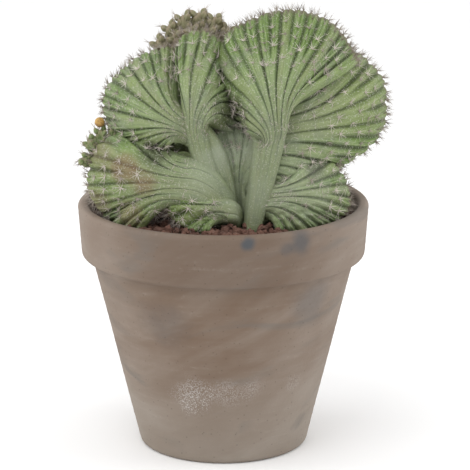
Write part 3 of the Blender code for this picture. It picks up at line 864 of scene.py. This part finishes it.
# The painted highlight on the rib crowns goes on here.
green = flesh.blend(green, (0.30, 0.36, 0.17), crown)
green = flesh.blend(green, (0.27, 0.34, 0.145), veins.step(0.48, 0.62) * 0.60)
green = flesh.blend(green, (0.075, 0.115, 0.035), (1.0 - veins).step(0.50, 0.64) * 0.60)
green = flesh.blend(green, (0.085, 0.115, 0.055), bruises * 0.40)
green = flesh.blend(green, (0.23, 0.24, 0.11), rib_tone.step(0.2, 1.0) * 0.35)
green = flesh.blend(green, (0.26, 0.29, 0.21), dusty * 0.4)
# The painted shade in the grooves goes on here, uneven in patches.
green = flesh.blend(green, (0.045, 0.062, 0.022), painted_groove_shade * (0.7 + 0.4 * patches))
depth_share = 0.35
flatter = flesh.mapped(flesh.place, (1.0, depth_share, 1.0))
# Each spot blends its colour over a ragged patch: the real scars, the painted shade and the
# painted light alike.
for centre, reach, amount, tint in scars_and_painted_light:
    gap = flesh.away(flatter, (centre[0], depth_share * centre[1], centre[2]))
    tint_mask = 1.0 - (gap / reach + (patches - 0.5) * 1.5).step(0.35, 1.05)
    green = flesh.blend(green, tint, tint_mask * amount)
green = flesh.blend(green, (0.42, 0.44, 0.35), (flecks - 0.57).step(0.0, 0.09) * 0.6)
green = flesh.blend(green, (0.16, 0.12, 0.085), (along + mottle * 0.10).step(0.975, 1.05) * 0.85)
flesh.feed(Base_Color=green)
flesh.feed(Roughness=0.5 + 0.25 * patches)
flesh.feed(Normal=flesh.bump(mottle * 0.5 + flecks * 0.2 + veins * 0.8, 0.0009, 0.7))
flesh.shader.inputs["Specular IOR Level"].default_value = 0.3

shape_rng = random.Random(7)
fan_shapes = {}
fan_trees = {}
for name, data in fans.items():
    fan = Fan(data, shape_rng)
    fan_shapes[name] = fan
    bpy.ops.object.select_all(action="DESELECT")
    bpy.ops.mesh.primitive_grid_add(
        x_subdivisions=fan.ribs * columns_per_rib, y_subdivisions=2 * fan_rows, size=1.0
    )
    piece = bpy.context.active_object
    piece.name = "crest_" + name
    mesh = piece.data
    flat = np.empty(len(mesh.vertices) * 3, dtype=np.float32)
    mesh.vertices.foreach_get("co", flat)
    flat = flat.reshape(-1, 3).astype(float)
    u = np.clip(flat[:, 0] + 0.5, 0.0, 1.0)
    w = np.clip(2.0 * (flat[:, 1] + 0.5), 0.0, 2.0)
    side = np.where(w <= 1.0, 1.0, -1.0)
    t = np.where(w <= 1.0, w, 2.0 - w)
    v = 1.0 - (1.0 - t) ** 1.5
    mesh.vertices.foreach_set("co", fan.skin(u, v, side).astype(np.float32).ravel())
    rib = np.clip((u * fan.ribs).astype(int), 0, fan.ribs - 1)
    fields = {
        "along": v,
        "across": u * fan.ribs + 31.0 * len(fan_shapes) + 0.5 * side,
        "furrow": fan.furrow(u, v),
        "tone": fan.tones[rib],
    }
    for key, values in fields.items():
        layer = mesh.attributes.new(key, "FLOAT", "POINT")
        layer.data.foreach_set("value", values.astype(np.float32))
    bpy.ops.object.mode_set(mode="EDIT")
    bpy.ops.mesh.select_all(action="SELECT")
    bpy.ops.mesh.remove_doubles(threshold=0.000002)
    bpy.ops.mesh.select_all(action="DESELECT")
    bpy.ops.mesh.select_mode(type="EDGE")
    bpy.ops.mesh.select_non_manifold(extend=False)
    bpy.ops.mesh.fill()
    bpy.ops.mesh.select_all(action="SELECT")
    bpy.ops.mesh.normals_make_consistent(inside=False)
    bpy.ops.object.mode_set(mode="OBJECT")
    for polygon in mesh.polygons:
        polygon.use_smooth = True
    mesh.materials.append(flesh.mat)
    fan_trees[name] = BVHTree.FromPolygons(
        [v.co.copy() for v in mesh.vertices], [tuple(p.vertices) for p in mesh.polygons]
    )
    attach(piece, "root")
    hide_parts("crest")


# The spines. They stand in stars on small woolly pads, in rows along the ribs, with loose
# bristles between them, and they crowd together in tufts along the growing edges.
spine_thick = 0.2
star_reach = 5.0
bristles_per_rib = 16
narrow_rib = 2.6
spine = Finish("spines", 0.7)
shade = spine.attribute("tone")
spine.feed(Base_Color=spine.blend((0.16, 0.12, 0.09), (0.68, 0.62, 0.56), shade))


def prickle(points, faces, way, length, thick):
    """Adds one three-sided spine to a model."""
    way = Vector(way).normalized()
    turn = way.to_track_quat("Z", "Y").to_matrix()
    first = len(points)
    for k in range(3):
        corner = math.tau * k / 3
        foot = Vector((thick * math.cos(corner), thick * math.sin(corner), 0.0))
        points.append(tuple(turn @ foot))
    points.append(tuple(way * length))
    faces.append((first, first + 2, first + 1))
    for k in range(3):
        faces.append((first + k, first + (k + 1) % 3, first + 3))


def pad(points, faces, radius, height):
    """Adds a small flat cushion of wool to a model."""
    first = len(points)
    for k in range(5):
        turn = math.tau * k / 5
        points.append((radius * math.cos(turn), radius * math.sin(turn), -0.2))
    points.append((0.0, 0.0, height))
    faces.append(tuple(first + 4 - k for k in range(5)))
    for k in range(5):
        faces.append((first + k, first + (k + 1) % 5, first + 5))


spine_rng = random.Random(11)
star_models = []
for kind in range(6):
    points = []
    faces = []
    pad(points, faces, 0.55, 0.35)
    for k in range(7):
        turn = math.tau * (k + spine_rng.uniform(-0.3, 0.3)) / 7.0
        lift = spine_rng.uniform(0.25, 0.75)
        way = (math.cos(turn), math.sin(turn), lift)
        prickle(points, faces, way, star_reach * spine_rng.uniform(0.65, 1.1), spine_thick)
    way = (spine_rng.uniform(-0.3, 0.3), spine_rng.uniform(-0.3, 0.3), 1.0)
    prickle(points, faces, way, star_reach * spine_rng.uniform(0.7, 1.1), spine_thick)
    star_models.append((np.array(points), faces))
tuft_models = []
for kind in range(6):
    points = []
    faces = []
    pad(points, faces, 0.6, 0.3)
    for k in range(6):
        turn = spine_rng.uniform(0.0, math.tau)
        spread = spine_rng.uniform(0.1, 0.8)
        way = (spread * math.cos(turn), spread * math.sin(turn), 1.0)
        prickle(points, faces, way, star_reach * spine_rng.uniform(0.6, 1.15), 0.8 * spine_thick)
    tuft_models.append((np.array(points), faces))
bristle_models = []
for kind in range(4):
    points = []
    faces = []
    for k in range(3):
        turn = spine_rng.uniform(0.0, math.tau)
        way = (math.cos(turn), math.sin(turn), spine_rng.uniform(0.2, 0.9))
        prickle(points, faces, way, 0.6 * star_reach * spine_rng.uniform(0.6, 1.1), 0.1)
    bristle_models.append((np.array(points), faces))


def stand_on(fan, u, v, side):
    """Where a pad sits on a fan's skin, and the skin's own outward direction there."""
    u = np.array([u])
    v = np.array([v])
    side = np.array([side])
    spot = fan.skin(u, v, side)[0]
    across = (fan.skin(u + 0.006, v, side) - fan.skin(u - 0.006, v, side))[0]
    up = (fan.skin(u, np.minimum(v + 0.004, 1.0), side) - fan.skin(u, v - 0.008, side))[0]
    way = np.cross(across, up) * side[0] * fan.side
    size = np.linalg.norm(way)
    if size < 1e-12:
        return None
    return Vector(spot), Vector(way / size)


def buried(spot, name):
    """True if a place is inside another fan or under the soil."""
    if spot.z < soil_top + 0.001:
        return True
    for other, tree in fan_trees.items():
        if other == name:
            continue
        near, normal, index, gap = tree.find_nearest(spot, 0.016)
        if near is not None and (spot - near).dot(normal) < 0.0:
            return True
    return False


def plant(found, name, sizes, first, kinds, shades, spun=True):
    """Puts a model on a fan's skin, unless that place is buried."""
    if found is None or buried(found[0], name):
        return
    spot, way = found
    turn = way.to_track_quat("Z", "Y").to_matrix().to_4x4()
    if spun:
        turn = turn @ Matrix.Rotation(spine_rng.uniform(0.0, math.tau), 4, "Z")
    grow = Matrix.Scale(0.001 * spine_rng.uniform(*sizes), 4)
    which = first + spine_rng.randrange(kinds)
    places.append((which, Matrix.Translation(spot) @ turn @ grow))
    tones.append(spine_rng.uniform(*shades))


spine_models = star_models + tuft_models + bristle_models
first_tuft = len(star_models)
first_bristle = len(star_models) + len(tuft_models)
for name, fan in fan_shapes.items():
    places = []
    tones = []
    for side in (1.0, -1.0):
        for rib in range(fan.ribs):
            u = (rib + 0.5) / fan.ribs
            edges = [fan.starts[i] for i in (rib, rib + 1) if 0 < i < fan.ribs]
            open_at = max(edges) + 0.02
            ends = fan.sheet(np.array([u, u]), np.array([1.0, 0.3]))
            length = np.linalg.norm(ends[0] - ends[1])
            spacing = 11.0 / max(20.0, length / 0.7)
            v = 0.24 + spacing * spine_rng.random()
            while v < 0.9:
                roomy = fan.rib_width(np.array([u]), np.array([v]))[0] > narrow_rib
                if roomy and (v > open_at or spine_rng.random() < 0.3):
                    found = stand_on(fan, u + spine_rng.uniform(-0.08, 0.08) / fan.ribs, v, side)
                    plant(found, name, (0.8, 1.25), 0, len(star_models), (0.35, 1.0))
                v += spacing * spine_rng.uniform(0.8, 1.2) * (1.0 if v < 0.7 else 0.75)
            for v, count in ((0.925, 1), (0.955, 2), (0.978, 2), (0.994, 2)):
                for k in range(count):
                    aside = k - 0.5 * (count - 1) + spine_rng.uniform(-0.2, 0.2)
                    found = stand_on(fan, u + aside * 0.4 / fan.ribs, v, side)
                    plant(found, name, (0.7, 1.2), first_tuft, len(tuft_models), (0.0, 0.65))
    for k in range(bristles_per_rib * fan.ribs):
        v = spine_rng.uniform(0.3, 0.95)
        found = stand_on(fan, spine_rng.uniform(0.02, 0.98), v, spine_rng.choice((1.0, -1.0)))
        plant(found, name, (0.7, 1.2), first_bristle, len(bristle_models), (0.5, 1.0), False)
    needles = copies("spines_" + name, spine_models, places, tones)
    needles.data.materials.append(spine.mat)
    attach(needles, "root")


# Small shoots on the growing edge, each a pointed, knobbly stem with spines at its tip.
shoots = (
    ((-38, 14, 86), (-0.9, 0.1, 0.8), 3.5, 13),
    ((-35, 15, 95), (-0.8, 0.2, 1.0), 3.5, 14),
    ((-29, 16, 103), (-0.5, 0.2, 1.0), 3.5, 14),
    ((-22, 17, 108), (-0.25, 0.1, 1.0), 3.5, 14),
    ((-14, 17, 109), (0.0, 0.2, 1.0), 3.6, 15),
    ((-6, 17, 107), (0.25, 0.1, 1.0), 3.5, 14),
    ((1, 16, 102), (0.6, 0.2, 1.0), 3.4, 13),
    ((5, 15, 94), (0.9, 0.2, 0.8), 3.4, 13),
    ((-33, 6, 90), (-0.6, -0.8, 0.8), 3.6, 13),
    ((-26, 5, 98), (-0.3, -0.7, 1.0), 3.6, 14),
    ((-18, 5, 102), (-0.05, -0.6, 1.0), 3.6, 14),
    ((-10, 5, 101), (0.25, -0.7, 1.0), 3.6, 14),
    ((-18, 27, 100), (-0.1, 0.9, 0.8), 3.8, 14),
    ((-70, -22, 49), (-0.05, -0.05, 1.0), 2.6, 13),
    ((-75, -23, 46), (-0.7, -0.3, 0.9), 2.9, 8),
    ((-62, -22, 53), (0.1, -0.2, 1.0), 3.0, 9),
    ((-78, -24, 37), (-1.0, -0.4, 0.4), 2.8, 8),
)
shoot_skin = Finish("shoot_skin", 0.7)
shoot_height = shoot_skin.attribute("along")
shoot_mottle = shoot_skin.noise(300.0, 3.0, 0.6)
shoot_right = (shoot_skin.part("X") + 0.060).step(0.0, 0.015)
shoot_brown = shoot_skin.blend((0.190, 0.250, 0.095), (0.205, 0.195, 0.100), shoot_right)
shoot_tip = shoot_height.step(0.55, 1.0)
shoot_green = shoot_skin.blend(shoot_brown, (0.30, 0.225, 0.165), shoot_tip * 0.55)
shoot_green = shoot_skin.blend(shoot_green, (0.38, 0.37, 0.27), shoot_mottle.step(0.5, 0.75) * 0.4)
shoot_skin.feed(Base_Color=shoot_green)
shoot_skin.feed(Normal=shoot_skin.bump(shoot_mottle, 0.0004, 0.6))
shoot_rng = random.Random(3)
shoot_places = []
shoot_tones = []
for number, (centre, direction, radius, length) in enumerate(shoots):
    name = "shoot_%02d" % (number + 1)
    place = Vector((centre[0] * mm, centre[1] * mm, centre[2] * mm + soil_top))
    lean = Vector(direction).normalized()
    knobs = [(place, lean, 1.35 * radius, 0.86 * length)]
    for k in range(12):
        turn = 2.4 * k + shoot_rng.uniform(-0.3, 0.3)
        aside = Matrix.Rotation(turn, 3, lean) @ lean.orthogonal().normalized()
        up = (0.45 - 0.075 * k) * length * mm
        tilt = (lean + aside * shoot_rng.uniform(0.35, 1.0)).normalized()
        start = place + lean * up + aside * (0.95 * radius * mm)
        knobs.append((start, tilt, 0.60 * radius, 1.00 * radius + 0.12 * length))
    made = []
    for spot, way, wide, tall in knobs:
        bpy.ops.object.select_all(action="DESELECT")
        bpy.ops.mesh.primitive_uv_sphere_add(segments=20, ring_count=14, radius=1.0)
        knob = bpy.context.active_object
        heights = []
        for vert in knob.data.vertices:
            height = vert.co.z
            turn = math.atan2(vert.co.y, vert.co.x)
            rib = 1.0 - 0.34 * (0.5 - 0.5 * math.cos(5.0 * turn))
            taper = 1.0 - 0.22 * min(1.0, max(0.0, (height - 0.05) / 0.95))
            vert.co.x *= wide * rib * taper * mm
            vert.co.y *= wide * rib * taper * mm
            vert.co.z *= 0.5 * tall * mm
            heights.append(0.5 + 0.5 * height)
        layer = knob.data.attributes.new("along", "FLOAT", "POINT")
        layer.data.foreach_set("value", heights)
        turn = way.to_track_quat("Z", "Y").to_matrix().to_4x4()
        knob.data.transform(Matrix.Translation(spot) @ turn)
        made.append(knob)
        tip = spot + way * (0.47 * tall * mm)
        grow = Matrix.Scale(0.001 * shoot_rng.uniform(0.7, 1.0), 4)
        shoot_places.append((shoot_rng.randrange(6), Matrix.Translation(tip) @ turn @ grow))
        shoot_tones.append(shoot_rng.uniform(0.2, 0.9))
    bpy.ops.object.select_all(action="DESELECT")
    for knob in made:
        knob.select_set(True)
    bpy.context.view_layer.objects.active = made[0]
    bpy.ops.object.join()
    shoot = bpy.context.active_object
    shoot.name = name + "_stem"
    for polygon in shoot.data.polygons:
        polygon.use_smooth = True
    shoot.data.materials.append(shoot_skin.mat)
    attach(shoot, "root")
    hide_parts(name)
needles = copies("spines_shoots", tuft_models, shoot_places, shoot_tones)
needles.data.materials.append(spine.mat)
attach(needles, "root")


# The flower bud: a round, scaly orange ball on the tip of one shoot, brown at its foot.
bud_low, bud_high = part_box("flower_bud")
bud_centre = (Vector(bud_low) + Vector(bud_high)) / 2
bud_radius = (bud_high[2] - bud_low[2]) / 2
bpy.ops.object.select_all(action="DESELECT")
bpy.ops.mesh.primitive_uv_sphere_add(segments=40, ring_count=24, radius=0.92 * bud_radius)
bud = bpy.context.active_object
bud.name = "flower_bud_ball"
for vert in bud.data.vertices:
    turn = math.atan2(vert.co.y, vert.co.x)
    rise = vert.co.z / bud_radius
    scale = 1.0 + 0.05 * math.sin(7.0 * turn + 9.0 * rise) * math.sqrt(max(0.0, 1.0 - rise * rise))
    vert.co = vert.co * scale + bud_centre
for polygon in bud.data.polygons:
    polygon.use_smooth = True
petal = Finish("bud", 0.6)
petal_grain = petal.noise(500.0, 3.0, 0.6)
petal_low = petal.part("Z").step(bud_low[2], bud_centre.z)
petal_colour = petal.blend((0.12, 0.06, 0.03), (0.48, 0.29, 0.075), petal_low)
petal_scales = petal_grain.step(0.42, 0.62) * 0.7
petal.feed(Base_Color=petal.blend(petal_colour, (0.26, 0.14, 0.05), petal_scales))
petal.feed(Normal=petal.bump(petal_grain, 0.0003, 0.6))
bud.data.materials.append(petal.mat)
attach(bud, "root")
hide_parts("flower_bud")


# The studio: a pale floor, soft light from the front, the left and the right.
bpy.ops.object.select_all(action="DESELECT")
bpy.ops.mesh.primitive_plane_add(size=12.0, location=(0.0, 0.0, 0.0))
floor = bpy.context.active_object
floor.name = "floor"
paper = Finish("paper", 0.9)
paper.shader.inputs["Base Color"].default_value = (0.92, 0.92, 0.92, 1.0)
floor.data.materials.append(paper.mat)
floor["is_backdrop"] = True

bpy.context.scene.view_settings.view_transform = "Standard"
world = bpy.data.worlds.new("studio")
world.use_nodes = True
world.node_tree.nodes["Background"].inputs["Color"].default_value = (1.0, 1.0, 1.0, 1.0)
world.node_tree.nodes["Background"].inputs["Strength"].default_value = 1.0
bpy.context.scene.world = world


def soft_light(name, place, aim, width, power):
    """A square soft box that points at a place."""
    light = bpy.data.lights.new(name, "AREA")
    light.shape = "SQUARE"
    light.size = width
    light.energy = power
    obj = bpy.data.objects.new(name, light)
    bpy.context.scene.collection.objects.link(obj)
    obj.location = place
    way = Vector(aim) - Vector(place)
    obj.rotation_euler = way.to_track_quat("-Z", "Y").to_euler()
    return obj


soft_light("key_light", (-0.5, -0.9, 1.7), (0.0, 0.0, 0.15), 1.0, 8.0)
soft_light("right_light", (1.3, -0.1, 0.8), (0.0, 0.0, 0.12), 0.9, 5.0)
soft_light("left_light", (-1.3, 0.1, 0.7), (0.0, 0.0, 0.12), 0.9, 5.0)

camera_data = bpy.data.cameras.new("camera")
camera_data.lens = 195.6
camera_data.sensor_width = 36.0
camera_data.clip_end = 20.0
camera = bpy.data.objects.new("camera", camera_data)
bpy.context.scene.collection.objects.link(camera)
aim = Vector((0.0068, 0.0, 0.1247))
rise = math.radians(14.89)
camera.location = aim + 1.5 * Vector((0.0, -math.cos(rise), math.sin(rise)))
camera.rotation_euler = (aim - camera.location).to_track_quat("-Z", "Y").to_euler()
bpy.context.scene.camera = camera

low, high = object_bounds()
